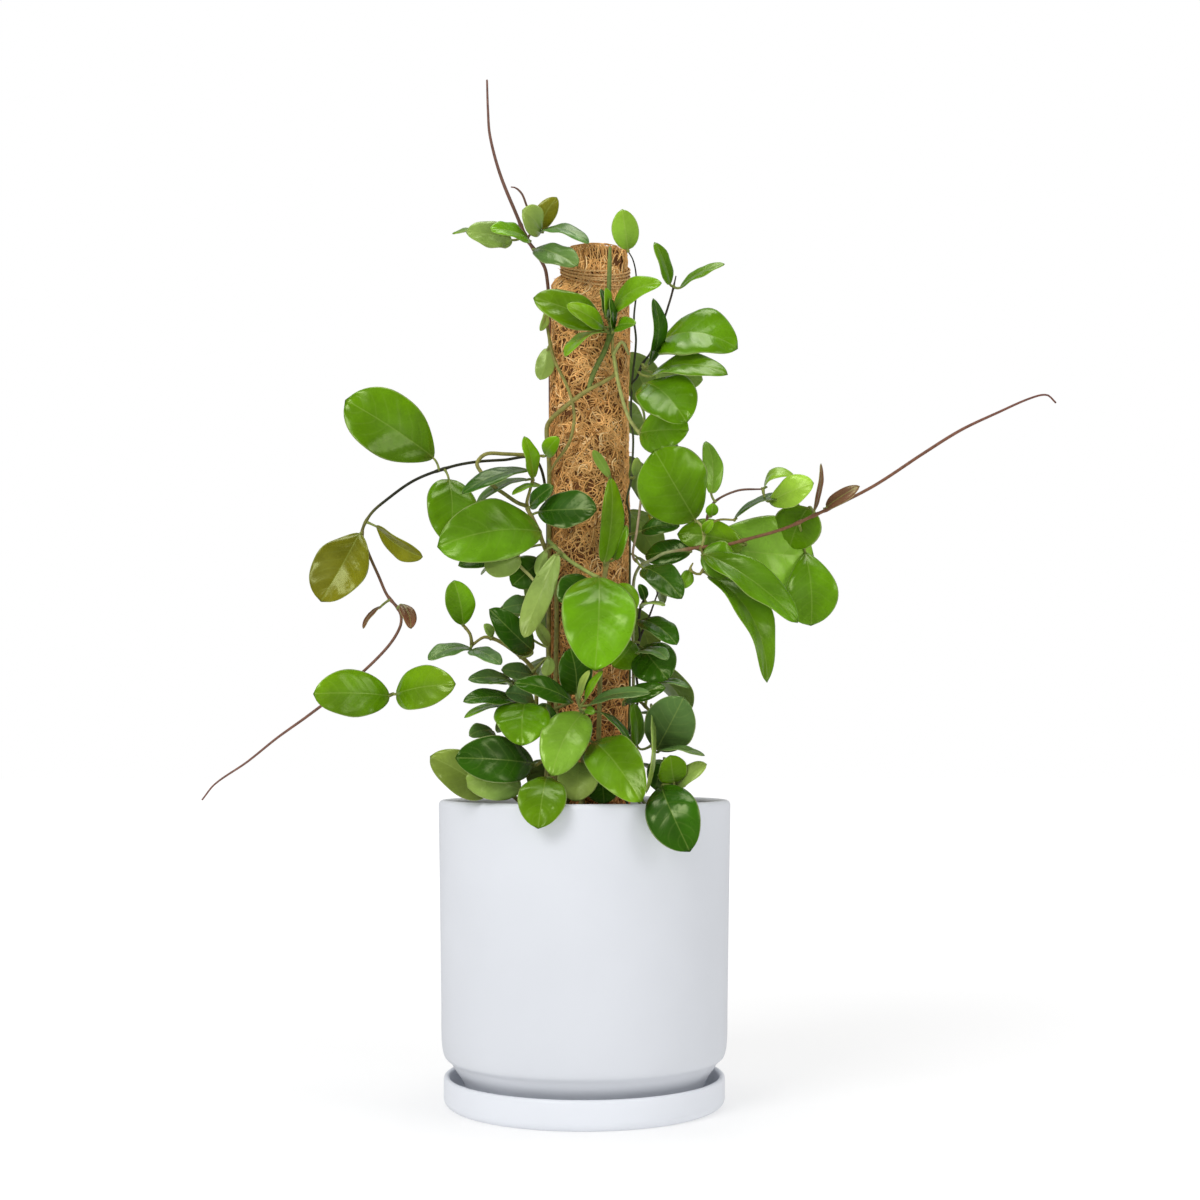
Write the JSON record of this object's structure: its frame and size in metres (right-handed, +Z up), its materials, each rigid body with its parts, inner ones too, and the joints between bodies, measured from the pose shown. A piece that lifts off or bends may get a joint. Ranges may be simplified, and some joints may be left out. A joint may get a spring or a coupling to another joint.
{
  "type": "potted climbing hoya",
  "caption": "Climbing plant with fleshy oval leaves on a coir-wrapped pole, in a straight round pot that stands on its saucer.",
  "frame": {"origin": "centre of the saucer's flat underside", "axes": "+Z up along the pot's axis, +Y away from the front of the plant, +X to the right of the front"},
  "size_m": [0.7221, 0.2631, 0.8844],
  "materials": {
    "glaze": "satin white glaze",
    "soil": "loose matte potting mix",
    "timber": "sawn timber",
    "coir": "rough coconut fibre",
    "cord": "twisted fibre cord",
    "foliage": "waxy semi-gloss leaf"
  },
  "bodies": {
    "root": {"saucer": "glaze", "pot": "glaze", "soil": "soil", "stake": "timber", "coir_wrap": "coir", "tie_band": "cord", "vine_top_left": "foliage", "vine_pole": "foliage", "vine_right_upper": "foliage", "vine_right_runner": "foliage", "vine_front": "foliage", "vine_left_runner": "foliage", "vine_left_mid": "foliage", "vine_low_left": "foliage", "vine_low_left_front": "foliage", "vine_low_front": "foliage", "vine_low_right": "foliage", "vine_pot_left": "foliage", "vine_pot_right": "foliage", "vine_back_right": "foliage", "vine_back_left": "foliage"}
  },
  "joints": []
}
